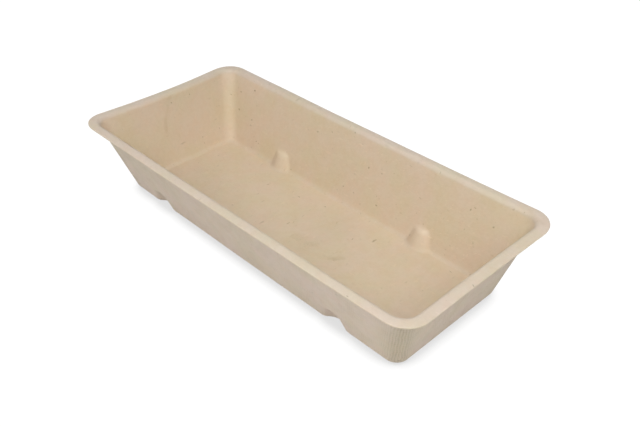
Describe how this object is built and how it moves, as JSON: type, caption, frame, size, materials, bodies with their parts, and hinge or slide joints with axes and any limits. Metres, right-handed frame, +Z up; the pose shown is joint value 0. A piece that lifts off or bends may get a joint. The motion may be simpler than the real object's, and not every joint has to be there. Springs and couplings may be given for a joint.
{
  "type": "bagasse sausage tray",
  "caption": "Long open tray moulded from sugar-cane fibre in one piece, with leaning walls, a flat flange and hollow stacking lugs at the foot, for a sausage.",
  "frame": {"origin": "on the surface the tray stands on, under the middle of its flange", "axes": "+Z up out of the open mouth, +X along the tray's length, +Y across it"},
  "size_m": [0.22, 0.099, 0.0396],
  "materials": {
    "moulded_fibre": "matte, unbleached, with fine flecks and short fibres"
  },
  "bodies": {
    "root": {"tray": "moulded_fibre"}
  },
  "joints": []
}
